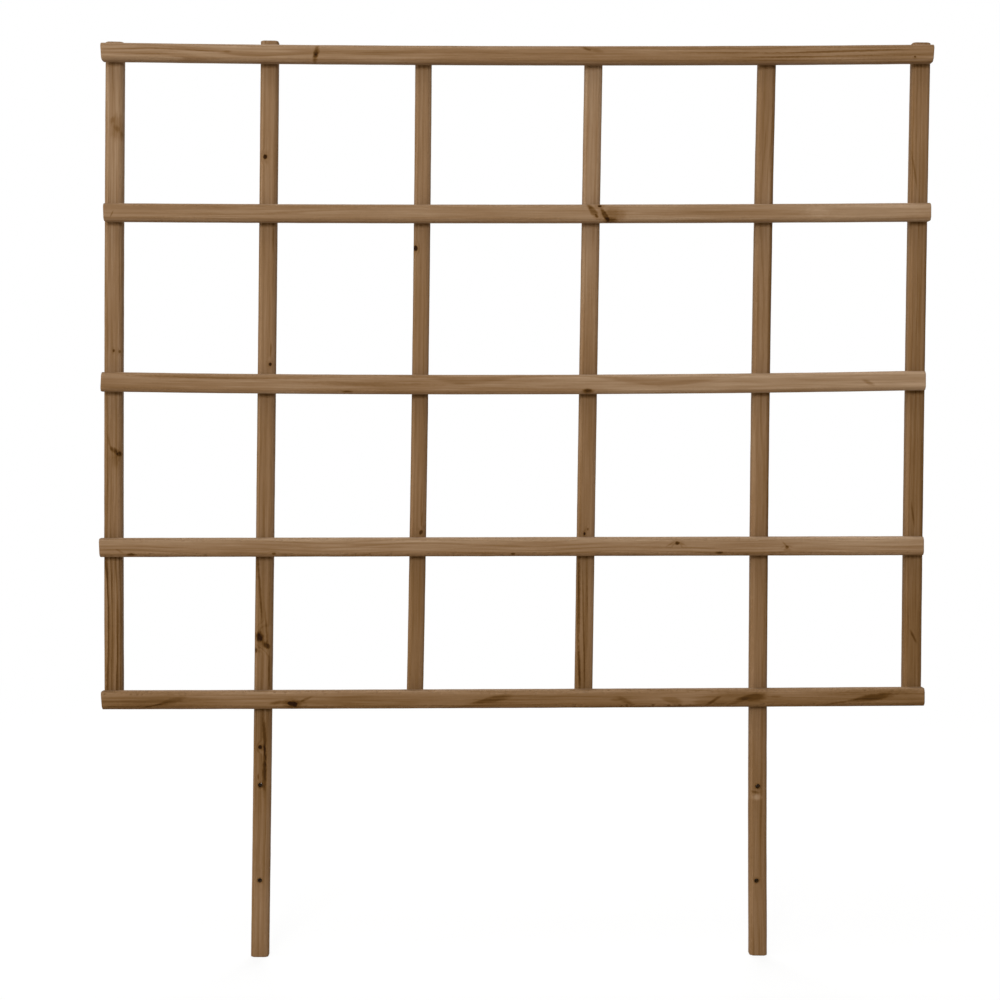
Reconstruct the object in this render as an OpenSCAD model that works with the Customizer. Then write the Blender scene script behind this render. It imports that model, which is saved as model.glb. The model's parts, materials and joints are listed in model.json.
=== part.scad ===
// Planter trellis panel: five rails lapped over six uprights and stapled from behind.
// Millimetres, +Z up. The front faces -Y, and the legs stand on z = 0.

/* [Battens] */
// Width of an upright, seen from the front
upright_w = 19; // [16:0.5:30]
// Thickness of an upright, front to back
upright_t = 19; // [16:0.5:30]
// Height of a rail, seen from the front
rail_w = 19; // [16:0.5:30]
// Thickness of a rail, front to back
rail_t = 19; // [16:0.5:30]
// Radius of the rounded long edges of every batten
arris_r = 3; // [1:0.5:5]
// Bevel around a batten's sawn ends
end_bevel = 1.5; // [0.5:0.25:3]

/* [Bays] */
// Left edge upright to left leg upright, centre to centre at the middle of the lattice
left_edge_bay = 165.5; // [120:0.5:220]
// Left leg upright to left inner upright
left_leg_bay = 168.5; // [120:0.5:220]
// Left inner upright to right inner upright
middle_bay = 184; // [120:0.5:220]
// Right inner upright to right leg upright
right_leg_bay = 190; // [120:0.5:220]
// Right leg upright to right edge upright
right_edge_bay = 167.5; // [120:0.5:220]
// How far the rails run past the outer faces of the edge uprights
rail_overhang = 0.75; // [0:0.25:20]
// Lean of the uprights towards the right, with the rails level, in degrees
lean = 0.7; // [0:0.1:2]

/* [Rows] */
// Height of the bottom rail's centre line above the leg ends
leg_drop = 285; // [240:1:400]
// Bottom rail to lower rail, centre to centre
bottom_row = 165.5; // [120:0.5:220]
// Lower rail to middle rail
lower_row = 177; // [120:0.5:220]
// Middle rail to upper rail
middle_row = 184; // [120:0.5:220]
// Upper rail to top rail
upper_row = 170.5; // [120:0.5:220]

/* [Upright ends] */
// How far the left edge upright stands above the top rail
left_edge_stand = 7.5; // [0:0.5:40]
// How far the left leg upright stands above the top rail
left_leg_stand = 8.5; // [0:0.5:40]
// How far the two inner uprights stand above the top rail
inner_stand = 2; // [0:0.5:40]
// How far the right leg upright stands above the top rail
right_leg_stand = 2.5; // [0:0.5:40]
// How far the right edge upright stands above the top rail
right_edge_stand = 5.5; // [0:0.5:40]
// How far the four short uprights stop above the bottom rail's lower edge
short_end_gap = 2; // [0:0.25:4]

/* [Leg screw holes] */
// Diameter of a screw hole
screw_d = 5; // [3:0.5:8]
// Height of the lower hole above the leg ends
screw_low = 83.5; // [40:0.5:100]
// Lower hole to upper hole
screw_pitch = 104.5; // [60:0.5:130]

/* [Staples] */
// Outer width of a staple's crown
staple_crown = 8; // [6:0.5:11]
// Thickness of the flat staple wire, across its bend
wire_t = 1; // [0.6:0.1:1.4]
// Width of the flat staple wire
wire_w = 1.2; // [0.6:0.1:1.6]
// Inner radius of the bends beside the crown
staple_bend_r = 0.6; // [0.3:0.1:1]
// How deep the points reach into the rail
staple_bite = 11; // [5:0.5:13]
// How far the crown is driven below the upright's back
staple_sink = 0.4; // [0.1:0.1:1.5]
// Length of the bevel on a staple's points
point_l = 2; // [1:0.25:3]
// Turn of the crown from level, in degrees
staple_turn = 45; // [0:5:90]
// Room between a staple and the wood around it
staple_clear = 0.05; // [0.02:0.01:0.1]

/* [Hidden] */
$fn = 64;

// Extra length that carries a cut past the surface that it opens
cut_past = 1;

bays = [left_edge_bay, left_leg_bay, middle_bay, right_leg_bay, right_edge_bay];
rows = [bottom_row, lower_row, middle_row, upper_row];
stands = [left_edge_stand, left_leg_stand, inner_stand, inner_stand, right_leg_stand, right_edge_stand];

// Sum of the first count values of a list
function sum_of(values, count) = count == 0 ? 0 : values[count - 1] + sum_of(values, count - 1);

lattice_w = sum_of(bays, len(bays));
lattice_h = sum_of(rows, len(rows));
rail_l = lattice_w + upright_w + 2 * rail_overhang;

// Uprights are counted from the left, rails from the bottom
upright_x = [for (i = [0 : len(bays)]) sum_of(bays, i) - lattice_w / 2];
rail_z = [for (i = [0 : len(rows)]) leg_drop + sum_of(rows, i)];
upright_count = len(upright_x);
rail_count = len(rail_z);
left_leg = 1;
right_leg = 4;

// The lattice leans about its own middle height, and the lap plane keeps its depth centred
lean_z = leg_drop + lattice_h / 2;
lap_y = (rail_t - upright_t) / 2;
function lean_x(z) = (z - lean_z) * tan(lean);

// A leaning leg stands on the lower edge of its sawn end
foot_lift = (upright_w / 2 - end_bevel) * sin(lean);
short_foot_z = rail_z[0] - rail_w / 2 + short_end_gap;
top_edge_z = rail_z[rail_count - 1] + rail_w / 2;
function is_leg(i) = i == left_leg || i == right_leg;
function foot_z(i) = is_leg(i) ? foot_lift : short_foot_z;

// A staple runs from below the back of the upright to its points in the rail
staple_l = upright_t - staple_sink + staple_bite;
back_y = lap_y + upright_t;

screw_z = [screw_low, screw_low + screw_pitch];
screw_mid_z = screw_low + screw_pitch / 2;

stain = "#83644a";
stain_dark = "#77583a";
galvanised = "#b4b8ba";

// Rectangle with round corners, centred
module rounded_rect(w, h, r) {
    square([w, h - 2 * r], center = true);
    square([w - 2 * r, h], center = true);
    for (x = [-1, 1], y = [-1, 1])
        translate([x * (w / 2 - r), y * (h / 2 - r)])
            circle(r);
}

// Length against width of a batten, with its four end corners bevelled, centred across and standing on y = 0
module eased_outline(w, length) {
    side = w / 2 + cut_past;
    face = w / 2 - end_bevel;
    slope = end_bevel + cut_past;
    polygon([
        [-face, 0],
        [face, 0],
        [side, slope],
        [side, length - slope],
        [face, length],
        [-face, length],
        [-side, length - slope],
        [-side, slope]
    ]);
}

// Batten standing on the origin: rounded along its length, with both ends bevelled all round
module batten(length, w, t) {
    intersection() {
        translate([0, 0, -cut_past])
            linear_extrude(length + 2 * cut_past)
                rounded_rect(w, t, arris_r);
        rotate([90, 0, 0])
            linear_extrude(t + 2 * cut_past, center = true)
                eased_outline(w, length);
        rotate([90, 0, 90])
            linear_extrude(w + 2 * cut_past, center = true)
                eased_outline(t, length);
    }
}

// Strip with its two corners beside y = 0 rounded, running up to y = h
module round_topped(w, h, r) {
    translate([-w / 2, r])
        square([w, h - r]);
    translate([-w / 2 + r, 0])
        square([w - 2 * r, 2 * r]);
    for (side = [-1, 1])
        translate([side * (w / 2 - r), r])
            circle(r);
}

// Staple seen along its wire's width: crown beside y = 0, legs along +Y, with room left on all sides
module staple_outline(room) {
    inner_w = staple_crown - 2 * wire_t - 2 * room;
    outer_w = staple_crown + 2 * room;
    point_y = staple_l + room * (1 + point_l / wire_t);
    difference() {
        translate([0, -room])
            round_topped(outer_w, point_y + room, staple_bend_r + wire_t + room);
        translate([0, wire_t + room])
            round_topped(inner_w, point_y, staple_bend_r - room);
        // The points are bevelled on the inside
        polygon([
            [-outer_w / 2, point_y + cut_past],
            [-outer_w / 2, point_y],
            [-inner_w / 2, point_y - point_l],
            [inner_w / 2, point_y - point_l],
            [outer_w / 2, point_y],
            [outer_w / 2, point_y + cut_past]
        ]);
    }
}

// Puts a staple's outline at the crossing of upright i and rail j, with its legs towards the front
module at_crossing(i, j) {
    translate([upright_x[i] + lean_x(rail_z[j]), back_y - staple_sink, rail_z[j]])
        rotate([0, staple_turn, 0])
            rotate([180, 0, 0])
                children();
}

module staple(i, j) {
    at_crossing(i, j)
        translate([0, 0, -wire_w / 2])
            linear_extrude(wire_w)
                staple_outline(0);
}

// The dent and the two slits that a staple leaves in the wood
module staple_slit(i, j) {
    slit_w = wire_w + 2 * staple_clear;
    dent_w = staple_crown + 2 * staple_clear;
    dent_depth = staple_sink + wire_t + staple_clear;
    at_crossing(i, j)
        translate([0, 0, -slit_w / 2])
            linear_extrude(slit_w) {
                staple_outline(staple_clear);
                translate([-dent_w / 2, -staple_sink - cut_past])
                    square([dent_w, dent_depth + cut_past]);
            }
}

module rail_staples(j) {
    for (i = [0 : upright_count - 1])
        staple(i, j);
}

module rail(j) {
    difference() {
        translate([lean_x(rail_z[j]) - rail_l / 2, lap_y - rail_t / 2, rail_z[j]])
            rotate([0, 90, 0])
                batten(rail_l, rail_w, rail_t);
        for (i = [0 : upright_count - 1])
            staple_slit(i, j);
    }
}

module screw_hole(i, z) {
    translate([upright_x[i] + lean_x(screw_mid_z), back_y + cut_past, z])
        rotate([90, 0, 0])
            cylinder(h = upright_t + 2 * cut_past, d = screw_d);
}

module upright(i) {
    foot_l = (foot_z(i) - lean_z) / cos(lean);
    head_l = (top_edge_z + stands[i] - lean_z) / cos(lean);
    difference() {
        translate([upright_x[i], lap_y + upright_t / 2, lean_z])
            rotate([0, lean, 0])
                translate([0, 0, foot_l])
                    batten(head_l - foot_l, upright_w, upright_t);
        for (j = [0 : rail_count - 1])
            staple_slit(i, j);
        if (is_leg(i))
            for (z = screw_z)
                screw_hole(i, z);
    }
}

module left_edge_upright() { color(stain_dark) upright(0); }
module left_leg_upright() { color(stain_dark) upright(left_leg); }
module left_inner_upright() { color(stain_dark) upright(2); }
module right_inner_upright() { color(stain_dark) upright(3); }
module right_leg_upright() { color(stain_dark) upright(right_leg); }
module right_edge_upright() { color(stain_dark) upright(5); }

module bottom_rail() { color(stain_dark) rail(0); }
module lower_rail() { color(stain) rail(1); }
module middle_rail() { color(stain) rail(2); }
module upper_rail() { color(stain) rail(3); }
module top_rail() { color(stain) rail(4); }

module bottom_rail_staples() { color(galvanised) rail_staples(0); }
module lower_rail_staples() { color(galvanised) rail_staples(1); }
module middle_rail_staples() { color(galvanised) rail_staples(2); }
module upper_rail_staples() { color(galvanised) rail_staples(3); }
module top_rail_staples() { color(galvanised) rail_staples(4); }

left_edge_upright();
left_leg_upright();
left_inner_upright();
right_inner_upright();
right_leg_upright();
right_edge_upright();
top_rail();
upper_rail();
middle_rail();
lower_rail();
bottom_rail();
top_rail_staples();
upper_rail_staples();
middle_rail_staples();
lower_rail_staples();
bottom_rail_staples();
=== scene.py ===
"""A planter trellis panel: brown-stained softwood battens, lapped and stapled, on two drilled legs."""
import json
import math
from collections import namedtuple
from dataclasses import dataclass

import bmesh
import bpy
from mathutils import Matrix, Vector


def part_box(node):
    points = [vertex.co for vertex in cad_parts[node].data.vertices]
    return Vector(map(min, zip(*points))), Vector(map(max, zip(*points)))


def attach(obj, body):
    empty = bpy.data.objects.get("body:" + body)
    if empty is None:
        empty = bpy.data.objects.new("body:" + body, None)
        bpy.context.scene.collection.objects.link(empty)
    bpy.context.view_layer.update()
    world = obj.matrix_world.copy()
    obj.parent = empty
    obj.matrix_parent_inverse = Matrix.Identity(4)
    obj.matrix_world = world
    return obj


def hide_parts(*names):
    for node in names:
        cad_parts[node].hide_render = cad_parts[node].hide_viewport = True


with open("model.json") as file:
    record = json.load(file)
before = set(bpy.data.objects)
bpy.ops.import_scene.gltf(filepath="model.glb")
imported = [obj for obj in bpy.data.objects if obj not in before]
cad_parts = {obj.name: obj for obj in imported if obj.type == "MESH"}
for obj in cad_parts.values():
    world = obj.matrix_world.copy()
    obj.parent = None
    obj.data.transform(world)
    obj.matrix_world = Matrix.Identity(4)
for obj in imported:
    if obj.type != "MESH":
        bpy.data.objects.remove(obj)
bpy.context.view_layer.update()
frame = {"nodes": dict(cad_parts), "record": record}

MM = 0.001

# Stock and workshop sizes, in millimetres
ARRIS = 4.2
END_EASE = 1.1
END_ZONE = 3.0
RIPPLE = 0.22
RIPPLE_LENGTH = 26.0
NICK_LENGTH = 3.2

# How finely a batten is cut up, and how its edges are rounded and smoothed
ARRIS_STEPS = 6
ARRIS_ROUND = 0.40
END_STEPS = 4
CUTS_PER_PASS = 22
BOW_POINTS = 9
SMOOTH_BELOW = math.radians(35)

# Nicks: how much of the rounding they reach, and the noise that scatters them
NICK_ZONE = 0.8
NICK_BRIGHTNESS = 0.3
NICK_CONTRAST = 4.0

# Screw holes, drilled by hand from the front and a little askew. The drill is so many depths of stock long
DRILL_ASKEW = math.radians(4.5)
DRILL_SIDES = 28
DRILL_DEPTHS = 4

# The dent that each staple's crown leaves behind an upright, in millimetres
DENT_LENGTH = 9.6
DENT_WIDTH = 2.2
DENT_DEPTH = 0.9
DENT_EASE = 0.35
DENT_STEPS = 2
STAPLE_TURN = math.radians(45)

# The lens that hollows a knot or scar: its share of the mark's half sizes, and how finely it is cut up
PIT_SHARE = 0.8
PIT_SIDES = 20
PIT_RINGS = 12

# Where each batten's figure starts in the noise
RAIL_SEED = 11.3
RAIL_SEED_STEP = 7.7
UPRIGHT_SEED = 61.9
UPRIGHT_SEED_STEP = 5.9

# Knots, scars and streaks: place and half sizes in millimetres, turn in degrees, stain, depth of pit in
# millimetres, and the share by which it widens to its end
Mark = namedtuple("Mark", "along across reach width turn dark pit swell", defaults=(0.0, 0.0))


@dataclass
class Batten:
    """How one batten differs from its neighbours. Lengths are in millimetres."""

    node: str
    # Width of its front
    face: float
    # How far it strays from straight at its start, middle and end
    bow: tuple
    # How much stain it took, from 0, pale, to 1, nearly black, and how much more at its end than its start;
    # on the uprights, darker towards the feet, that change is painted shade
    tone: float
    fade: float
    # Growth rings: width of one, place of the pith across and behind, and dark of late wood
    ring: float
    pith: tuple
    grain: float
    marks: tuple
    # How far the pith comes forward for each millimetre along
    climb: float = 0.004
    # Stretch where the rings stand out, and how many times more
    bold: tuple = ()
    # How strongly the fibres show
    figure: float = 1.0
    # Painted shade across it: how much darker its upper or right edge is than the other, or its lower or left
    # edge when below 0
    painted_side_shade: float = 0.0
    # Painted highlight on its upper rounding and painted shade on its lower one: how much paler and darker
    painted_rounding_light: float = 0.0
    # How much longer it is at its start and end than the drawn one
    trim: tuple = (0.0, 0.0)
    # How far each sawn end is out of square, in degrees, with the upper edge running on
    cut: tuple = (0.0, 0.0)
    # Deepest nick in its long edges
    torn: float = 0.35
    # How far its lower and its upper screw hole stray along and across, if it has them
    holes: tuple = ()


RAILS = (
    Batten(
        "top_rail", 19.1, (2.9, -0.5, 1.3), tone=0.35, fade=0.12, trim=(2.3, -0.4), cut=(3.0, 4.0),
        painted_rounding_light=0.03, ring=4.6, pith=(24.0, 34.0), grain=0.12, figure=1.05,
        marks=(
            Mark(-214.5, -0.4, 11.5, 3.5, 78, 0.50, 0.7),
            Mark(-415, 5.2, 42.0, 1.0, 1.5, 0.22),
            Mark(-362, 4.6, 48.0, 1.0, -2.2, 0.22),
            Mark(-398, -0.4, 44.0, 0.9, 1.8, 0.15),
            Mark(-310, 2.4, 6.0, 1.6, 0, 0.18),
            Mark(76, 5.6, 6.0, 2.0, -20, 0.30),
            Mark(87, 3.8, 11.0, 3.2, -15, 0.14),
            Mark(99, -0.3, 22.0, 4.5, 0, -0.06),
            Mark(225, 1.1, 64.0, 1.3, 0, 0.18),
            Mark(90, 0.0, 260.0, 20.0, 0, 0.05),
            Mark(345, 2.6, 90.0, 1.5, 1.2, 0.28),
            Mark(320, -2.9, 112.0, 1.2, 0.5, 0.24),
            Mark(300, -6.8, 120.0, 0.9, 0.3, 0.14),
            Mark(431, -2.8, 1.4, 1.2, 0, 0.40),
        ),
    ),
    Batten(
        "upper_rail", 19.3, (1.0, -0.5, 1.2), tone=0.32, fade=-0.05, trim=(-1.5, -0.7), cut=(1.5, 0.0),
        painted_rounding_light=0.03, ring=4.4, pith=(-20.0, 44.0), grain=0.10, figure=0.9,
        marks=(
            Mark(-435, -1.5, 4.8, 0.9, 63, 0.28),
            Mark(-300, -1.6, 70.0, 0.9, 1.0, 0.13),
            Mark(-224, 1.5, 62.0, 1.0, 2.5, 0.14),
            Mark(83.5, 1.6, 9.4, 3.8, -53, 0.34, swell=0.2),
            Mark(80, 6.4, 5.0, 3.0, -30, 0.14),
            Mark(87.5, -3.6, 2.6, 1.7, -53, 0.28),
            Mark(91, 7.0, 2.4, 1.8, 0, 0.50, 1.2),
            Mark(96.3, -2.4, 9.4, 3.0, -62, 0.34, swell=0.2),
            Mark(103, -7.8, 10.0, 3.0, 0, 0.36),
            Mark(105, -2.4, 18.0, 9.0, 0, 0.26),
            Mark(225, 0.0, 80.0, 16.0, 0, 0.025),
            Mark(326, 0.5, 18.0, 7.0, 0, -0.08),
            Mark(380, 0.0, 90.0, 16.0, 0, -0.09),
        ),
    ),
    Batten(
        "middle_rail", 21.0, (2.2, -1.1, 2.9), tone=0.295, fade=-0.17, trim=(-0.1, -3.5), cut=(-3.0, 0.0),
        painted_side_shade=-0.04, painted_rounding_light=0.03, ring=5.5, pith=(16.0, 50.0), grain=0.11,
        marks=(
            Mark(-330, 6.8, 105.0, 1.8, -0.6, 0.21),
            Mark(-330, 3.4, 100.0, 1.1, -0.6, -0.06),
            Mark(-150, -0.6, 110.0, 2.4, -0.8, 0.13),
            Mark(-80, 0.0, 170.0, 20.0, 0, 0.05),
            Mark(-182, -8.6, 7.0, 1.6, 0, 0.32),
            Mark(78, -8.2, 8.0, 3.2, 0, 0.58),
            Mark(382, 0.6, 9.0, 2.6, -24, 0.20),
        ),
    ),
    Batten(
        "lower_rail", 20.4, (-0.3, 0.0, 0.4), tone=0.34, fade=-0.05, trim=(0.5, -2.8), cut=(2.0, 0.0),
        painted_side_shade=-0.06, painted_rounding_light=0.08, torn=0.9, ring=3.4, pith=(40.0, 24.0), grain=0.10,
        marks=(
            Mark(-416, -7.6, 6.0, 2.2, 0, 0.36),
            Mark(-428, -4.0, 7.0, 1.5, -30, 0.13),
            Mark(-262, -6.6, 2.6, 1.5, 0, 0.28),
            Mark(-3, -7.4, 3.2, 1.6, 0, 0.38),
            Mark(175, 4.0, 2.8, 2.3, 0, 0.44, 0.5),
            Mark(168, 3.2, 7.0, 1.2, 30, 0.17),
            Mark(181, 3.0, 6.0, 1.2, -30, 0.13),
            Mark(221, -6.6, 5.6, 1.9, 0, 0.38),
            Mark(215, 0.0, 90.0, 20.0, 0, 0.05),
            Mark(294, -0.6, 2.4, 1.9, 0, 0.32),
            Mark(292, 2.2, 5.4, 1.2, -48, 0.18),
            Mark(375, 0.0, 75.0, 16.0, 0, -0.04),
        ),
    ),
    Batten(
        "bottom_rail", 19.6, (-0.5, 0.0, 1.5), tone=0.49, fade=0.03, trim=(-2.9, 0.7), cut=(4.0, 0.0),
        painted_side_shade=-0.10, painted_rounding_light=0.07, torn=1.1,
        ring=4.0, pith=(-2.0, 30.0), climb=0.02, grain=0.12, figure=1.05,
        marks=(
            Mark(-374, -1.2, 20.0, 3.4, 16, 0.11, swell=0.5),
            Mark(-392, -5.6, 22.0, 1.1, 12, 0.15),
            Mark(-245, -3.9, 3.0, 2.8, 0, 0.34),
            Mark(-239.5, -4.8, 3.0, 2.7, 0, 0.40, 0.4),
            Mark(-241, -3.8, 15.0, 6.0, 0, 0.19),
            Mark(-259, -3.0, 10.0, 2.6, 10, 0.24),
            Mark(-228, 0.7, 9.0, 1.8, 21, 0.22),
            Mark(-27, -0.2, 25.0, 3.6, 11, 0.18, swell=0.5),
            Mark(108, -0.6, 7.0, 2.2, 0, 0.14),
            Mark(118, -1.4, 12.0, 3.4, -24, 0.19),
            Mark(169, -1.2, 13.0, 3.8, -10, 0.18, swell=0.4),
            Mark(214.5, -1.7, 12.0, 2.1, 32, 0.22),
            Mark(255.5, 1.5, 19.0, 4.4, 6, 0.28, swell=0.6),
            Mark(243, -2.2, 14.0, 2.6, 16, 0.13),
            Mark(282, 2.7, 9.0, 1.9, 0, 0.12),
            Mark(385, 0.9, 27.0, 4.0, 8, 0.23, swell=0.4),
            Mark(353, -3.8, 22.0, 1.8, 9, 0.16),
            Mark(-400, 0.0, 75.0, 16.0, 0, 0.08),
            Mark(190, 0.0, 75.0, 16.0, 0, -0.08),
            Mark(400, 0.0, 75.0, 16.0, 0, 0.07),
            Mark(385, 7.4, 85.0, 4.0, 0, 0.11),
        ),
    ),
)

UPRIGHTS = (
    Batten(
        "left_edge_upright", 19.6, (2.3, -0.3, -1.1), tone=0.41, fade=-0.24, trim=(0.0, -0.5),
        ring=3.3, pith=(30.0, 26.0), grain=0.10, bold=(285.0, 440.0, 2.2), figure=1.15,
        marks=(
            Mark(914, -2.0, 5.2, 2.9, 20, 0.16),
            Mark(904, 3.0, 5.6, 3.4, -30, 0.18),
            Mark(906, 2.5, 18.0, 9.0, 0, 0.19),
            Mark(897, 7.5, 7.0, 1.8, 0, 0.18),
            Mark(664, 0.7, 1.8, 1.4, 0, 0.34),
            Mark(663, 7.0, 2.1, 1.5, 0, 0.32),
            Mark(555.5, 2.4, 7.4, 3.4, -55, 0.27),
            Mark(551.5, 7.4, 3.2, 2.9, 0, 0.27, 0.5),
            Mark(546, 3.0, 12.0, 6.0, 0, 0.13),
            Mark(563, -3.2, 11.0, 1.5, -14, 0.16),
            Mark(540, 0.0, 85.0, 16.0, 0, 0.06),
            Mark(368, 0.0, 70.0, 16.0, 0, -0.03),
            Mark(930, 0.0, 100.0, 20.0, 0, -0.04),
        ),
    ),
    Batten(
        "left_leg_upright", 19.2, (-1.1, 0.6, 1.4), tone=0.435, fade=-0.12, trim=(0.0, -0.3),
        holes=((1.2, -1.2), (1.3, -1.6)),
        ring=4.2, pith=(-34.0, 28.0), grain=0.10, figure=0.85,
        marks=(
            Mark(874, -2.0, 3.2, 2.8, 0, 0.52, 0.8),
            Mark(786, 7.2, 23.0, 1.3, 0, 0.20),
            Mark(649, 5.3, 2.4, 2.1, 0, 0.50, 0.4),
            Mark(654, 4.0, 4.0, 2.2, 0, -0.09),
            Mark(664, 5.8, 10.5, 1.2, 0, 0.22),
            Mark(400, -3.6, 43.0, 1.6, -4.2, 0.30),
            Mark(432, -7.0, 18.0, 1.7, 0, 0.22),
            Mark(364, 3.2, 27.0, 1.3, -4.6, 0.22),
            Mark(352, -4.0, 6.2, 5.4, 0, 0.35),
            Mark(352.5, -4.5, 2.8, 2.5, 0, 0.24, 0.6),
            Mark(342, 4.2, 5.0, 3.2, -46, 0.28),
            Mark(337, -7.7, 3.2, 1.8, 0, 0.36),
            Mark(316, 6.9, 27.0, 1.4, 0, 0.20),
            Mark(246, 2.2, 31.0, 2.5, -3.4, 0.30),
            Mark(205, 2.7, 31.0, 3.0, 0, 0.40),
            Mark(231, -2.5, 2.6, 2.4, 0, 0.42, 0.4),
            Mark(226, -1.6, 3.6, 3.0, 0, -0.07),
            Mark(199, -4.0, 4.6, 1.2, 0, 0.26),
            Mark(346.5, 0.0, 9.0, 3.0, -38, 0.16),
            Mark(545, 0.0, 90.0, 20.0, 0, 0.04),
            Mark(368, 0.0, 75.0, 16.0, 0, 0.05),
            Mark(238, 0.0, 38.0, 16.0, 0, 0.05),
            Mark(135, 0.0, 45.0, 16.0, 0, -0.05),
            Mark(40, 0.0, 70.0, 14.0, 0, -0.12),
        ),
    ),
    Batten(
        "left_inner_upright", 17.8, (-2.4, -0.1, 0.0), tone=0.43, fade=-0.19,
        ring=3.8, pith=(28.0, -30.0), grain=0.07, figure=0.7,
        marks=(
            Mark(775, -6.6, 3.4, 2.7, 0, 0.62, 0.9),
            Mark(466, 2.7, 3.2, 2.2, 30, 0.34),
            Mark(470, 2.2, 3.6, 1.5, 0, -0.07),
            Mark(480, 3.6, 12.0, 1.1, 4, 0.13),
            Mark(715, 0.0, 90.0, 20.0, 0, 0.04),
            Mark(365, 0.0, 75.0, 16.0, 0, 0.035),
        ),
    ),
    Batten(
        "right_inner_upright", 19.4, (-1.6, -0.5, 1.2), tone=0.395, fade=-0.28, torn=0.5,
        ring=4.6, pith=(-22.0, 36.0), grain=0.08, bold=(285.0, 440.0, 0.8), figure=0.8,
        marks=(
            Mark(464, -2.8, 1.8, 1.5, 0, 0.42),
            Mark(469, 0.6, 1.9, 1.1, 0, 0.26),
            Mark(390, -8.2, 62.0, 2.1, -0.6, 0.32),
            Mark(318, -7.0, 35.0, 1.9, -2.4, 0.36),
            Mark(366, -2.7, 78.0, 1.2, -1.8, 0.24),
            Mark(380, 1.2, 62.0, 1.0, -1.5, 0.16),
            Mark(600, 0.0, 170.0, 16.0, 0, 0.06),
            Mark(368, 0.0, 70.0, 16.0, 0, -0.03),
        ),
    ),
    Batten(
        "right_leg_upright", 19.2, (3.9, -1.3, 0.1), tone=0.455, fade=-0.03, painted_side_shade=0.04, torn=0.5,
        holes=((-0.7, 0.6), (-1.2, 0.4)),
        ring=3.0, pith=(26.0, 40.0), grain=0.09, figure=0.8,
        marks=(
            Mark(175, -0.2, 4.6, 7.6, 0, -0.25, 0.5),
            Mark(180.5, -2.6, 1.8, 5.4, 12, 0.22),
            Mark(905, 0.0, 75.0, 16.0, 0, 0.04),
            Mark(610, 0.0, 160.0, 20.0, 0, -0.06),
            Mark(690, 6.6, 420.0, 3.2, 0, 0.14),
            Mark(150, 0.0, 130.0, 16.0, 0, 0.06),
        ),
    ),
    Batten(
        "right_edge_upright", 19.9, (1.3, -0.1, 0.4), tone=0.485, fade=-0.12, painted_side_shade=0.04, trim=(0.0, 1.1),
        ring=3.2, pith=(-40.0, 30.0), grain=0.11, figure=0.9,
        marks=(
            Mark(858, -5.5, 25.0, 1.5, -9.6, 0.17),
            Mark(484, -1.5, 18.0, 1.5, -8, 0.17),
            Mark(351.5, 0.7, 9.5, 1.8, -28, 0.24),
            Mark(360, 0.0, 90.0, 20.0, 0, 0.04),
        ),
    ),
)

STAPLE_NODES = tuple(f"{rail.node}_staples" for rail in RAILS)


def middle(node):
    """The middle of a drawn node's box, in metres."""
    low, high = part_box(node)
    return (low + high) / 2


def reach(node):
    """The size of a drawn node's box, in metres."""
    low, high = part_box(node)
    return high - low


panel_rise = middle("top_rail") - middle("bottom_rail")
LEAN = math.atan2(panel_rise.x, panel_rise.z)

# The leg screws, as the record gives them, in metres
screws = next(mount for mount in frame["record"]["mounts"] if mount["name"] == "leg_screws")
screw_radius = screws["dims"]["hole_r_mm"] * MM
half_pitch = screws["dims"]["spacing_y_mm"] / 2 * MM
screw_heights = (screws["pos_m"][2] - half_pitch, screws["pos_m"][2] + half_pitch)


def upright_line(batten, height):
    """The drawn middle line of an upright at a height, in metres."""
    centre = middle(batten.node)
    return centre.x + (height - centre.z) * math.tan(LEAN)


def span(batten, upright):
    """Where a batten starts and ends along its length, in millimetres."""
    low, high = (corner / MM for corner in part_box(batten.node))
    start_trim, end_trim = batten.trim
    if upright:
        return low.z - start_trim, high.z + end_trim
    return low.x - start_trim, high.x + end_trim


def stray(bow, t):
    """How far a bowed batten strays at t, from -1 at its start to 1 at its end, in millimetres."""
    start, centre, end = bow
    return centre + t * ((end - start) / 2) + t * t * ((end + start) / 2 - centre)


# Surface finishes


class Field:
    """A number that varies over a surface. Arithmetic on it adds Math nodes."""

    def __init__(self, finish, socket):
        self.finish = finish
        self.socket = socket

    def math(self, operation, first, second):
        return self.finish.node("ShaderNodeMath", {"operation": operation}, {0: first, 1: second})

    def __add__(self, other):
        return self.math("ADD", self, other)

    def __radd__(self, other):
        return self.math("ADD", other, self)

    def __sub__(self, other):
        return self.math("SUBTRACT", self, other)

    def __rsub__(self, other):
        return self.math("SUBTRACT", other, self)

    def __mul__(self, other):
        return self.math("MULTIPLY", self, other)

    def __rmul__(self, other):
        return self.math("MULTIPLY", other, self)

    def __truediv__(self, other):
        return self.math("DIVIDE", self, other)


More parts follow.
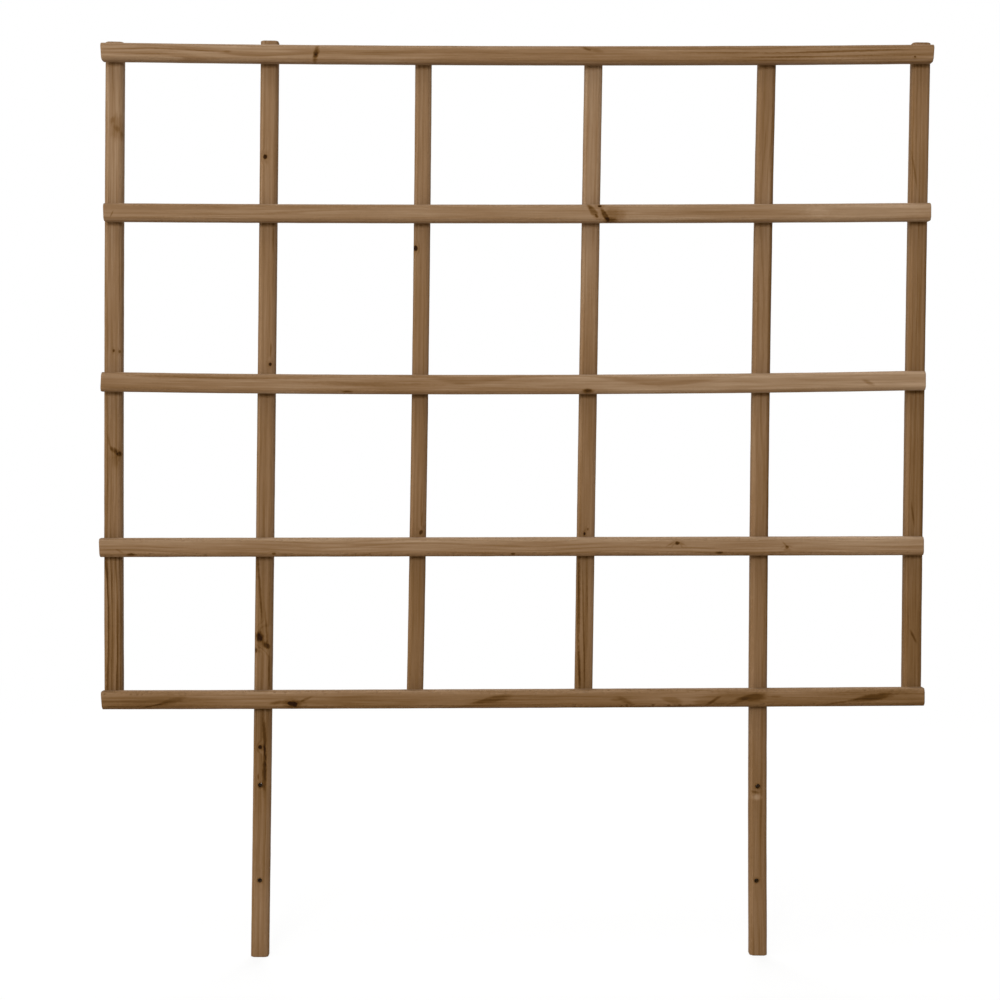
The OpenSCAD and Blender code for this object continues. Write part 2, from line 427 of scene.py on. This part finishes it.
class Finish:
    """The nodes of one material, or of the world."""

    def __init__(self, owner):
        owner.use_nodes = True
        self.tree = owner.node_tree
        self.tree.nodes.clear()

    def node(self, kind, settings=None, sockets=None, output=0):
        """Add a node with its settings, then feed its sockets. Gives one output, or several by name."""
        made = self.tree.nodes.new(kind)
        for name, value in (settings or {}).items():
            if name == "stops":
                self.set_stops(made.color_ramp, value)
            else:
                setattr(made, name, value)
        for name, value in (sockets or {}).items():
            if isinstance(value, Field):
                self.tree.links.new(value.socket, made.inputs[name])
            else:
                made.inputs[name].default_value = value
        if isinstance(output, tuple):
            return tuple(Field(self, made.outputs[name]) for name in output)
        if not made.outputs:
            return None
        return Field(self, made.outputs[output])

    @staticmethod
    def set_stops(ramp, stops):
        while len(ramp.elements) < len(stops):
            ramp.elements.new(1.0)
        for element, (position, colour) in zip(ramp.elements, stops):
            element.position = position
            element.color = (*colour, 1.0)

    def ease(self, value, low, high):
        """0 below low, 1 above high and a smooth climb between."""
        return self.node(
            "ShaderNodeMapRange",
            {"interpolation_type": "SMOOTHSTEP"},
            {"Value": value, "From Min": low, "From Max": high},
        )

    def root(self, value):
        return self.node("ShaderNodeMath", {"operation": "SQRT"}, {0: value})

    def size(self, value):
        return self.node("ShaderNodeMath", {"operation": "ABSOLUTE"}, {0: value})

    def mix(self, share, first, second):
        """A colour that runs from the first, at share 0, to the second, at share 1."""
        return self.node("ShaderNodeMix", {"data_type": "RGBA"}, {0: share, 6: first, 7: second}, 2)


# Stain from hardly taken to nearly black, as linear colours
STAIN_STOPS = (
    (0.0, (0.402, 0.280, 0.183)),
    (0.2, (0.281, 0.187, 0.112)),
    (0.4, (0.207, 0.122, 0.0615)),
    (0.6, (0.146, 0.077, 0.029)),
    (0.8, (0.080, 0.035, 0.007)),
    (1.0, (0.018, 0.006, 0.001)),
)

# Noise drawn out along a batten: length and width of a patch in millimetres, detail, and shift from the rest
Noise = namedtuple("Noise", "length width detail shift")
FIBRE = Noise(34.0, 0.75, 3.0, 0.0)
COARSE_FIBRE = Noise(110.0, 2.4, 2.0, 3.7)
BAND = Noise(280.0, 5.0, 1.0, 13.9)
BLOTCH = Noise(120.0, 26.0, 2.0, 9.1)
FRAY = Noise(5.0, 2.2, 2.0, 5.3)
SWAY = Noise(210.0, 600.0, 1.0, 1.3)
RAGGED = Noise(26.0, 3.0, 2.0, 7.7)
NOISE_ROUGHNESS = 0.55

# How much darker or paler each part of the figure makes the stain
FIBRE_STAIN = 0.30
COARSE_STAIN = 0.34
BAND_STAIN = 0.22
BLOTCH_STAIN = 0.20
END_GRAIN_STAIN = 0.10
# Rounded edges painted paler, partly rubbed wear and partly painted highlight
RUBBED_AND_HIGHLIGHT = 0.04
HALO_STAIN = 0.16

# Dark ring round each screw hole, which also paints shade on its walls, and painted shade on the uprights
# just under each rail, and how far each reaches in millimetres
HOLE_DARK = 0.25
HOLE_DARK_REACH = 4.4
LAP_SHADE = 0.16
LAP_SHADE_REACH = 5.0

# Marks, as shares of their half sizes: how far they fray, how far full stain goes, and where the last ends
PLAIN_FRAY = 0.7
TAPER_FRAY = 0.4
SOFT_CORE = 0.2
CRISP_CORE = 0.5
MARK_RIM = 1.15
# How much of a mark is lost on the way to the back
LOST_BEHIND = 0.65

# A knot is a dark mark that isn't long, in a faint halo where the rings swell round it
KNOT_SLIMNESS = 2
KNOT_STAIN = 0.25
HALO_FROM = 0.9
HALO_TO = 3.2
RING_SWELL = 1.3

# Growth rings: how far the pith sways and a ring is ragged, in millimetres, and late wood's share of a year
PITH_SWAY = 14.0
PITH_SWAY_BEHIND = 0.6
RING_RAGGED = 1.2
LATE_WOOD_GROWS = (0.30, 0.82)
LATE_WOOD_STOPS = (0.86, 1.0)

# Good years show more than lean ones: how fast they change from ring to ring and along, and how they show
YEAR_TO_YEAR = 0.8
YEAR_LENGTH = 420.0
GOOD_YEARS = (0.30, 0.72)
LEAN_YEAR = 0.25
BOLD_RUN_IN = 60.0
BOLD_RUN_OUT = 40.0

# Rubbed edges, whose paler stain is also a painted highlight on the roundings, measured in from the corner of
# the stock, and how evenly they are rubbed
RUB_AND_HIGHLIGHT_FROM = 4.2
RUB_AND_HIGHLIGHT_TO = 1.4
RUB_AND_HIGHLIGHT_EVENLY = 0.8

# Depth of sawn end that drinks more stain
END_GRAIN_FROM = 0.9
END_GRAIN_TO = 0.1

# Painted highlight on a rail's upper rounding and painted shade on its lower one, each measured in from its
# edge
UPPER_HIGHLIGHT_FROM = 7.3
UPPER_HIGHLIGHT_TO = 3.6
LOWER_SHADE_FROM = 6.0
LOWER_SHADE_TO = 3.0

# Relief of the figure, its full depth in millimetres, and how dull the stain is
FIBRE_RELIEF = 0.6
COARSE_RELIEF = 0.5
RING_RELIEF = 0.25
RELIEF_STRENGTH = 0.35
RELIEF_DEPTH = 0.4
STAIN_ROUGHNESS = 0.74
FIBRE_ROUGHNESS = 0.16
RING_GLOSS = 0.06
STAIN_SPECULAR = 0.04

# Millimetres along, across and through a batten, and -1 to 1 along it
Place = namedtuple("Place", "along across depth t")


def batten_place(finish, batten, upright):
    """Where a point of the surface lies in a bowed batten."""
    point = finish.node("ShaderNodeTexCoord", output="Object")
    x, y, z = finish.node("ShaderNodeSeparateXYZ", sockets={"Vector": point}, output=("X", "Y", "Z"))
    centre = middle(batten.node) / MM
    start, end = span(batten, upright)
    depth = y / MM - centre.y
    if upright:
        along = z / MM
        across = x / MM - centre.x - (along - centre.z) * math.tan(LEAN)
    else:
        along = x / MM
        across = z / MM - centre.z
    t = (along - (start + end) / 2) / ((end - start) / 2)
    return Place(along, across - stray(batten.bow, t), depth, t)


def cloud(finish, place, seed, noise):
    """Noise about 0, drawn out along the batten."""
    patch = finish.node(
        "ShaderNodeCombineXYZ",
        sockets={
            "X": place.along / noise.length + (seed + noise.shift),
            "Y": place.across / noise.width,
            "Z": place.depth / noise.width,
        },
    )
    level = finish.node(
        "ShaderNodeTexNoise",
        sockets={"Vector": patch, "Scale": 1.0, "Detail": noise.detail, "Roughness": NOISE_ROUGHNESS},
    )
    return level - 0.5


def hole_rings_and_shade(batten):
    """A dark ring round each screw hole, which also paints shade on the hole's walls."""
    return tuple(
        Mark(height / MM + up, aside, HOLE_DARK_REACH, HOLE_DARK_REACH, 0.0, HOLE_DARK)
        for height, (up, aside) in zip(screw_heights, batten.holes)
    )


def painted_lap_shade(batten):
    """Painted shade on an upright just under each rail, where the rail's shadow falls."""
    marks = []
    for rail in RAILS:
        height = middle(rail.node).z
        t = upright_line(batten, height) / (reach(rail.node).x / 2)
        edge = height / MM + stray(rail.bow, t) - rail.face / 2
        marks.append(Mark(edge, 0.0, LAP_SHADE_REACH, batten.face, 0.0, LAP_SHADE))
    return tuple(marks)


def mark_stain_and_shade(finish, batten, upright, place, fray):
    """How dark the knots, scars, streaks and hole rings are, with painted shade under the rails and in the
    holes, fainter behind, and how far the knots swell the rings.
    """
    start, end = span(batten, upright)
    lap_shade = painted_lap_shade(batten) if upright else ()
    stain = 0.0
    swelling = 0.0
    for mark in batten.marks + hole_rings_and_shade(batten) + lap_shade:
        turn = math.radians(mark.turn)
        from_along = place.along - mark.along
        bow_there = stray(batten.bow, (2 * mark.along - start - end) / (end - start))
        from_across = place.across - (mark.across - bow_there)
        lengthwise = (from_along * math.cos(turn) + from_across * math.sin(turn)) / mark.reach
        crosswise = (from_across * math.cos(turn) - from_along * math.sin(turn)) / mark.width
        if mark.swell:
            crosswise = crosswise / (1.0 + lengthwise * mark.swell)
        frayed_by = TAPER_FRAY if mark.swell else PLAIN_FRAY
        distance = finish.root(lengthwise * lengthwise + crosswise * crosswise) + fray * frayed_by
        is_knot = mark.reach < KNOT_SLIMNESS * mark.width and mark.dark > KNOT_STAIN
        full_stain = CRISP_CORE if is_knot or mark.swell else SOFT_CORE
        core = 1.0 - finish.ease(distance, full_stain, MARK_RIM)
        stain = stain + core * mark.dark
        if is_knot:
            halo = 1.0 - finish.ease(distance, HALO_FROM, HALO_TO)
            swelling = swelling + halo * (RING_SWELL * mark.width)
            stain = stain + halo * (HALO_STAIN * mark.dark)
    half_depth = reach(batten.node).y / MM / 2
    behind = finish.ease(place.depth, ARRIS - half_depth, half_depth)
    return stain * (1.0 - behind * LOST_BEHIND), swelling


def growth_rings(finish, batten, place, seed, swelling):
    """Late wood of the rings round a pith that wanders along the batten, plain and as it shows."""
    sway = cloud(finish, place, seed, SWAY) * PITH_SWAY
    ragged = cloud(finish, place, seed, RAGGED) * RING_RAGGED
    pith_across, pith_behind = batten.pith
    from_pith = place.across - pith_across + sway
    behind_pith = place.depth - pith_behind + place.along * batten.climb + sway * PITH_SWAY_BEHIND
    radius = finish.root(from_pith * from_pith + behind_pith * behind_pith) + ragged + swelling
    years = radius / batten.ring
    season = finish.node("ShaderNodeMath", {"operation": "FRACT"}, {0: years})
    late_wood = finish.ease(season, *LATE_WOOD_GROWS) * (1.0 - finish.ease(season, *LATE_WOOD_STOPS))
    which_year = finish.node(
        "ShaderNodeCombineXYZ", sockets={"X": years * YEAR_TO_YEAR + seed, "Y": place.along / YEAR_LENGTH}
    )
    growth = finish.node(
        "ShaderNodeTexNoise",
        {"noise_dimensions": "2D"},
        {"Vector": which_year, "Scale": 1.0, "Detail": 1.0},
    )
    contrast = finish.ease(growth, *GOOD_YEARS) + LEAN_YEAR
    if batten.bold:
        low, high, boost = batten.bold
        started = finish.ease(place.along, low - BOLD_RUN_IN, low + BOLD_RUN_IN)
        ended = finish.ease(place.along, high, high + BOLD_RUN_OUT)
        contrast = contrast * (1.0 + started * (1.0 - ended) * boost)
    return late_wood, late_wood * contrast


def stained_wood(batten, upright, seed):
    """Softwood under a brown stain: growth rings, fibres, knots and streaks, darker on the sawn ends, with
    painted highlight and shade on the roundings, and painted shade towards the uprights' feet, under the
    rails and in the screw holes.
    """
    material = bpy.data.materials.new(f"{batten.node}_stained_wood")
    finish = Finish(material)
    place = batten_place(finish, batten, upright)
    fibre, coarse_fibre, band, blotch, fray = (
        cloud(finish, place, seed, noise) for noise in (FIBRE, COARSE_FIBRE, BAND, BLOTCH, FRAY)
    )
    stain, swelling = mark_stain_and_shade(finish, batten, upright, place, fray)
    late_wood, rings = growth_rings(finish, batten, place, seed, swelling)

    # The sawn ends drink more stain, and the rounded edges are paler, partly rubbed and partly painted
    # highlight; a rail's upper rounding gets painted highlight and its lower one painted shade
    start, end = span(batten, upright)
    half_length = (end - start) / 2
    half_face = batten.face / 2
    half_depth = reach(batten.node).y / MM / 2
    end_grain = finish.ease(
        finish.size(place.t), 1.0 - END_GRAIN_FROM / half_length, 1.0 - END_GRAIN_TO / half_length
    )
    edge = finish.ease(finish.size(place.across), half_face - RUB_AND_HIGHLIGHT_FROM, half_face - RUB_AND_HIGHLIGHT_TO)
    rim = finish.ease(finish.size(place.depth), half_depth - RUB_AND_HIGHLIGHT_FROM, half_depth - RUB_AND_HIGHLIGHT_TO)
    rubbed_and_highlit = edge * rim * (blotch + RUB_AND_HIGHLIGHT_EVENLY)
    painted_upper_highlight = finish.ease(place.across, half_face - UPPER_HIGHLIGHT_FROM, half_face - UPPER_HIGHLIGHT_TO)
    painted_lower_shade = finish.ease(0.0 - place.across, half_face - LOWER_SHADE_FROM, half_face - LOWER_SHADE_TO)

    lines = fibre * FIBRE_STAIN + coarse_fibre * COARSE_STAIN + band * BAND_STAIN
    dark = (
        batten.tone
        # Darker or paler along the batten; on the uprights, darker towards the feet, this is painted shade
        + place.t * (batten.fade / 2)
        # Painted shade on one long edge
        + place.across * (batten.painted_side_shade / batten.face)
        # Painted highlight on a rail's upper rounding and painted shade on its lower one
        + (painted_lower_shade - painted_upper_highlight) * batten.painted_rounding_light
        + rings * batten.grain
        + lines * batten.figure
        + blotch * BLOTCH_STAIN
        + end_grain * END_GRAIN_STAIN
        # Paler rounded edges, partly rubbed wear and partly painted highlight
        - rubbed_and_highlit * RUBBED_AND_HIGHLIGHT
        # Stain of the marks, with painted shade under the rails and in the screw holes
        + stain
    )
    colour = finish.node("ShaderNodeValToRGB", {"stops": STAIN_STOPS}, {"Fac": dark}, "Color")
    height = fibre * FIBRE_RELIEF + coarse_fibre * COARSE_RELIEF + rings * RING_RELIEF
    relief = finish.node(
        "ShaderNodeBump",
        sockets={"Strength": RELIEF_STRENGTH, "Distance": RELIEF_DEPTH * MM, "Height": height},
    )
    shader = finish.node(
        "ShaderNodeBsdfPrincipled",
        sockets={
            "Base Color": colour,
            "Roughness": STAIN_ROUGHNESS + fibre * FIBRE_ROUGHNESS - late_wood * RING_GLOSS,
            "Specular IOR Level": STAIN_SPECULAR,
            "Normal": relief,
        },
    )
    finish.node("ShaderNodeOutputMaterial", sockets={"Surface": shader})
    return material


# Zinc on the staple wire: its mottle, linear colours and shine, and the depth of its relief in millimetres
MOTTLE_SCALE = 900.0
MOTTLE_DETAIL = 3.0
MOTTLE_ROUGHNESS = 0.6
ZINC_STOPS = ((0.3, (0.36, 0.37, 0.38)), (0.7, (0.60, 0.61, 0.62)))
ZINC_ROUGHNESS = 0.28
ZINC_DULLING = 0.3
ZINC_RELIEF = 0.2
ZINC_DEPTH = 0.1


def galvanised_wire():
    """Zinc-coated staple wire: dull grey with a faint mottle."""
    material = bpy.data.materials.new("galvanised_wire")
    finish = Finish(material)
    place = finish.node("ShaderNodeTexCoord", output="Object")
    mottle = finish.node(
        "ShaderNodeTexNoise",
        sockets={
            "Vector": place,
            "Scale": MOTTLE_SCALE,
            "Detail": MOTTLE_DETAIL,
            "Roughness": MOTTLE_ROUGHNESS,
        },
    )
    colour = finish.node("ShaderNodeValToRGB", {"stops": ZINC_STOPS}, {"Fac": mottle}, "Color")
    relief = finish.node(
        "ShaderNodeBump",
        sockets={"Strength": ZINC_RELIEF, "Distance": ZINC_DEPTH * MM, "Height": mottle},
    )
    shader = finish.node(
        "ShaderNodeBsdfPrincipled",
        sockets={
            "Base Color": colour,
            "Metallic": 1.0,
            "Roughness": ZINC_ROUGHNESS + mottle * ZINC_DULLING,
            "Normal": relief,
        },
    )
    finish.node("ShaderNodeOutputMaterial", sockets={"Surface": shader})
    return material


# Joinery


def start_fresh():
    bpy.ops.object.select_all(action="DESELECT")


def make_active(piece):
    start_fresh()
    piece.select_set(True)
    bpy.context.view_layer.objects.active = piece


def select_edges(piece, wanted):
    """Select the edges that pass a test on their two ends. It is called in edit mode."""
    bpy.ops.mesh.select_mode(type="EDGE")
    bpy.ops.mesh.select_all(action="DESELECT")
    cage = bmesh.from_edit_mesh(piece.data)
    for edge in cage.edges:
        edge.select_set(wanted(edge.verts[0].co, edge.verts[1].co))
    bmesh.update_edit_mesh(piece.data)


def select_points(piece, wanted):
    """Select the points that pass a test on their place. It is called in edit mode."""
    bpy.ops.mesh.select_mode(type="VERT")
    bpy.ops.mesh.select_all(action="DESELECT")
    cage = bmesh.from_edit_mesh(piece.data)
    for point in cage.verts:
        point.select_set(wanted(point.co))
    bmesh.update_edit_mesh(piece.data)


def planed_batten(name, length, depth, face, cut):
    """A sawn length along X about the origin, with slanted cuts, rounded long edges and eased ends."""
    start_fresh()
    bpy.ops.mesh.primitive_cube_add(size=1.0)
    piece = bpy.context.object
    piece.name = name
    piece.data.name = name
    piece.scale = Vector((length, depth, face)) * MM
    bpy.ops.object.transform_apply(location=False, rotation=False, scale=True)
    end = length / 2 * MM
    bpy.ops.object.mode_set(mode="EDIT")
    for side, slant in zip((-1, 1), cut):
        run_on = math.tan(math.radians(slant)) * face / 2 * MM
        for level in (-1, 1):
            select_points(piece, lambda place: side * place.x > 0 and level * place.z > 0)
            bpy.ops.transform.translate(value=(side * level * run_on, 0, 0))
    select_edges(piece, lambda a, b: abs(a.x - b.x) > end)
    bpy.ops.mesh.bevel(offset=ARRIS * MM, segments=ARRIS_STEPS, profile=ARRIS_ROUND, affect="EDGES")
    end_zone = END_ZONE * MM
    select_edges(piece, lambda a, b: abs(a.x - b.x) < end_zone and abs(a.x) > end - end_zone)
    bpy.ops.mesh.bevel(offset=END_EASE * MM, segments=END_STEPS, affect="EDGES")
    for longer_than in (end, end / CUTS_PER_PASS):
        select_edges(piece, lambda a, b: abs(a.x - b.x) > longer_than)
        bpy.ops.mesh.subdivide(number_cuts=CUTS_PER_PASS)
    mark_long_edges(piece, depth, face)
    bpy.ops.object.mode_set(mode="OBJECT")
    return piece


def mark_long_edges(piece, depth, face):
    """Keep the four rounded edges as a group, for the nicks in them. It is called in edit mode."""
    beyond_y = (depth / 2 - ARRIS * NICK_ZONE) * MM
    beyond_z = (face / 2 - ARRIS * NICK_ZONE) * MM
    select_points(piece, lambda place: abs(place.y) > beyond_y and abs(place.z) > beyond_z)
    bpy.ops.object.vertex_group_add()
    bpy.ops.object.vertex_group_assign()


def apply_modifier(piece, kind, **settings):
    make_active(piece)
    modifier = piece.modifiers.new(kind.lower(), kind)
    for name, value in settings.items():
        setattr(modifier, name, value)
    bpy.ops.object.modifier_apply(modifier=modifier.name)


def bend_batten(piece, bow, length, depth, face):
    """Bow a batten sideways with a cage of points along it."""
    start_fresh()
    bpy.ops.object.add(type="LATTICE")
    cage = bpy.context.object
    cage.scale = Vector((length, depth, face)) * MM
    cage.data.points_u = BOW_POINTS
    cage.data.interpolation_type_u = "KEY_CATMULL_ROM"
    for point in cage.data.points:
        point.co_deform.z += stray(bow, 2 * point.co.x) / face
    apply_modifier(piece, "LATTICE", object=cage)
    bpy.data.objects.remove(cage)


def cut_away(piece, cutters):
    """Take the cutters' shapes out of a piece."""
    make_active(cutters[0])
    for cutter in cutters:
        cutter.select_set(True)
    bpy.ops.object.join()
    cutter = bpy.context.object
    apply_modifier(piece, "BOOLEAN", operation="DIFFERENCE", solver="EXACT", object=cutter)
    bpy.data.objects.remove(cutter)


def pit_cutter(place, mark, face_turn):
    """A flat lens that hollows the wood at a knot or scar."""
    start_fresh()
    bpy.ops.mesh.primitive_uv_sphere_add(
        segments=PIT_SIDES, ring_count=PIT_RINGS, radius=1.0, location=place
    )
    cutter = bpy.context.object
    cutter.scale = Vector((mark.reach * PIT_SHARE, mark.pit, mark.width * PIT_SHARE)) * MM
    cutter.rotation_euler.y = face_turn
    bpy.ops.object.transform_apply(location=True, rotation=True, scale=True)
    return cutter


def drill_cutter(place, depth):
    """A drill that goes in at the front, a little askew, so its exit is slightly higher."""
    start_fresh()
    bpy.ops.mesh.primitive_cylinder_add(
        vertices=DRILL_SIDES, radius=screw_radius, depth=DRILL_DEPTHS * depth, location=place,
        rotation=(math.pi / 2 + DRILL_ASKEW, 0, 0),
    )
    return bpy.context.object


def dent_cutter(place):
    """The slot that a staple's crown presses into the back of an upright."""
    start_fresh()
    bpy.ops.mesh.primitive_cube_add(size=1.0, location=place)
    cutter = bpy.context.object
    cutter.scale = Vector((DENT_LENGTH, 2 * DENT_DEPTH, DENT_WIDTH)) * MM
    cutter.rotation_euler.y = STAPLE_TURN
    bpy.ops.object.transform_apply(location=True, rotation=True, scale=True)
    bpy.ops.object.mode_set(mode="EDIT")
    bpy.ops.mesh.select_all(action="SELECT")
    bpy.ops.mesh.bevel(offset=DENT_EASE * MM, segments=DENT_STEPS, affect="EDGES")
    bpy.ops.object.mode_set(mode="OBJECT")
    return cutter


def finish_batten(piece, batten, material):
    """Smooth rounding between flat faces, stain, and its place on the panel."""
    make_active(piece)
    bpy.ops.object.shade_smooth_by_angle(angle=SMOOTH_BELOW)
    apply_modifier(piece, "WEIGHTED_NORMAL", keep_sharp=True)
    piece.data.materials.append(material)
    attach(piece, "root")
    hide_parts(batten.node)


plane_marks = bpy.data.textures.new("plane_marks", "CLOUDS")
plane_marks.noise_scale = RIPPLE_LENGTH * MM
plane_marks.noise_depth = 1

# Mostly smooth, with scattered nicks
torn_grain = bpy.data.textures.new("torn_grain", "CLOUDS")
torn_grain.noise_scale = NICK_LENGTH * MM
torn_grain.noise_depth = 1
torn_grain.intensity = NICK_BRIGHTNESS
torn_grain.contrast = NICK_CONTRAST
torn_grain.use_clamp = True


def weather(piece, batten):
    """Leave plane marks all over and nicks along the edges."""
    apply_modifier(piece, "DISPLACE", texture=plane_marks, strength=RIPPLE * MM, texture_coords="LOCAL")
    apply_modifier(
        piece, "DISPLACE", texture=torn_grain, strength=-batten.torn * MM, mid_level=0.0,
        vertex_group=piece.vertex_groups[0].name, texture_coords="LOCAL",
    )
    piece.vertex_groups.clear()


def set_batten(batten, upright):
    """A batten, planed and bowed, in its place on the panel."""
    centre = middle(batten.node)
    depth = reach(batten.node).y / MM
    start, end = span(batten, upright)
    length = end - start
    halfway = (start + end) / 2 * MM
    piece = planed_batten(f"{batten.node}_stained", length, depth, batten.face, batten.cut)
    # An upright's right side is down until it is turned up, so its bow goes the other way
    side = -1 if upright else 1
    bend_batten(piece, tuple(side * value for value in batten.bow), length, depth, batten.face)
    make_active(piece)
    if upright:
        piece.location = (upright_line(batten, halfway), centre.y, halfway)
        piece.rotation_euler.y = LEAN - math.pi / 2
    else:
        piece.location = (halfway, centre.y, centre.z)
    bpy.ops.object.transform_apply(location=True, rotation=True, scale=False)
    return piece


def wood_cutters(batten, upright):
    """What comes out of a batten: pits at its knots and scars, the staples' dents and the screw holes."""
    centre = middle(batten.node)
    depth = reach(batten.node).y
    front = centre.y - depth / 2
    back = centre.y + depth / 2
    cutters = []
    for mark in batten.marks:
        if not mark.pit:
            continue
        along = mark.along * MM
        across = mark.across * MM
        turn = math.radians(mark.turn)
        if upright:
            place = Vector((upright_line(batten, along) + across, front, along))
            cutters.append(pit_cutter(place, mark, turn - math.pi / 2))
        else:
            place = Vector((along, front, centre.z + across))
            cutters.append(pit_cutter(place, mark, -turn))
    if upright:
        for rail in RAILS:
            height = middle(rail.node).z
            cutters.append(dent_cutter(Vector((upright_line(batten, height), back, height))))
    for height, (up, aside) in zip(screw_heights, batten.holes):
        place = Vector((upright_line(batten, height) + aside * MM, front, height + up * MM))
        cutters.append(drill_cutter(place, depth))
    return cutters


def make_batten(batten, upright, seed):
    """One batten of the panel, weathered, cut into and stained."""
    piece = set_batten(batten, upright)
    weather(piece, batten)
    cutters = wood_cutters(batten, upright)
    if cutters:
        cut_away(piece, cutters)
    finish_batten(piece, batten, stained_wood(batten, upright, seed))


for number, batten in enumerate(RAILS):
    make_batten(batten, False, RAIL_SEED + RAIL_SEED_STEP * number)
for number, batten in enumerate(UPRIGHTS):
    make_batten(batten, True, UPRIGHT_SEED + UPRIGHT_SEED_STEP * number)

wire = galvanised_wire()
for node in STAPLE_NODES:
    for slot in frame["nodes"][node].material_slots:
        slot.material = wire


# Floor, light and camera


def camera_sees(finish):
    """1 for what the camera sees, straight, mirrored or through, and 0 for light that bounces."""
    camera, glossy, through = finish.node(
        "ShaderNodeLightPath", output=("Is Camera Ray", "Is Glossy Ray", "Is Transmission Ray")
    )
    seen = camera + glossy + through
    return finish.node("ShaderNodeMath", {"operation": "MINIMUM"}, {0: seen, 1: 1.0})


# Floor and room: lengths in metres, what the camera sees and what bounces
FLOOR_SIZE = 40.0
FLOOR_SEEN = (0.95, 0.95, 0.95, 1.0)
FLOOR_BOUNCE = (0.55, 0.51, 0.45, 1.0)
FLOOR_WHITENESS = 0.86
SHADOW_FADES = (1.0, 3.0)
AMBIENT = 0.287
AMBIENT_COLOUR = (1.0, 0.96, 0.90, 1.0)
WHITE = (1.0, 1.0, 1.0, 1.0)


def lay_floor():
    """A pale floor that looks white but keeps a soft shadow round the panel."""
    start_fresh()
    bpy.ops.mesh.primitive_plane_add(size=FLOOR_SIZE)
    floor = bpy.context.object
    floor.name = "floor"
    material = bpy.data.materials.new("pale_floor")
    finish = Finish(material)
    seen = camera_sees(finish)
    place = finish.node("ShaderNodeTexCoord", output="Object")
    distance = finish.node("ShaderNodeVectorMath", {"operation": "LENGTH"}, {0: place}, "Value")
    whiteness = finish.ease(distance, *SHADOW_FADES) * (1.0 - FLOOR_WHITENESS) + FLOOR_WHITENESS
    matt = finish.node("ShaderNodeBsdfDiffuse", sockets={"Color": finish.mix(seen, FLOOR_BOUNCE, FLOOR_SEEN)})
    white = finish.node("ShaderNodeEmission", sockets={"Color": WHITE, "Strength": 1.0})
    shown = finish.node("ShaderNodeMixShader", sockets={0: seen * whiteness, 1: matt, 2: white})
    finish.node("ShaderNodeOutputMaterial", sockets={"Surface": shown})
    floor.data.materials.append(material)


def light_room():
    """Even pale light all round, seen as white."""
    world = bpy.data.worlds.new("studio")
    bpy.context.scene.world = world
    finish = Finish(world)
    seen = camera_sees(finish)
    level = seen * (1.0 - AMBIENT) + AMBIENT
    colour = finish.mix(seen, AMBIENT_COLOUR, WHITE)
    glow = finish.node("ShaderNodeBackground", sockets={"Color": colour, "Strength": level})
    finish.node("ShaderNodeOutputWorld", sockets={"Surface": glow})


# Soft boxes, all turned to the panel's middle: name, place and size in metres, and power
PANEL_MIDDLE = Vector((0.0, 0.0, 0.6))
LAMPS = (
    ("front_light", (-0.9, -6.0, 1.95), (1.3, 1.3), 194.0),
    ("left_light", (-7.3, -1.9, 1.4), (3.0, 2.4), 282.0),
    ("right_light", (7.3, -1.4, 1.4), (3.0, 2.4), 75.0),
    ("top_light", (-0.3, -1.3, 3.2), (1.6, 1.6), 29.5),
    ("back_light", (0.0, 3.0, 4.2), (2.0, 1.6), 140.0),
)


def hang_lamp(name, place, size, power):
    """A soft box at a place, turned to the panel."""
    facing = (PANEL_MIDDLE - Vector(place)).to_track_quat("-Z", "Y").to_euler()
    bpy.ops.object.light_add(type="AREA", location=place, rotation=facing)
    lamp = bpy.context.object
    lamp.name = name
    lamp.data.shape = "RECTANGLE"
    lamp.data.size, lamp.data.size_y = size
    lamp.data.energy = power


# The photo's camera: place in metres, turns, and focal length and sensor in millimetres
CAMERA_PLACE = (-0.0380, -2.3696, 0.5609)
CAMERA_DOWN = math.radians(1.449)
CAMERA_RIGHT = math.radians(0.512)
CAMERA_ROLL = math.radians(0.062)
CAMERA_LENS = 78.23
CAMERA_SENSOR = 36.0


def set_camera():
    bpy.ops.object.camera_add(
        location=CAMERA_PLACE, rotation=(math.pi / 2 - CAMERA_DOWN, CAMERA_ROLL, -CAMERA_RIGHT)
    )
    camera = bpy.context.object
    camera.data.sensor_width = CAMERA_SENSOR
    camera.data.lens = CAMERA_LENS
    bpy.context.scene.camera = camera


lay_floor()
light_room()
for lamp in LAMPS:
    hang_lamp(*lamp)
set_camera()
bpy.context.scene.view_settings.view_transform = "Standard"
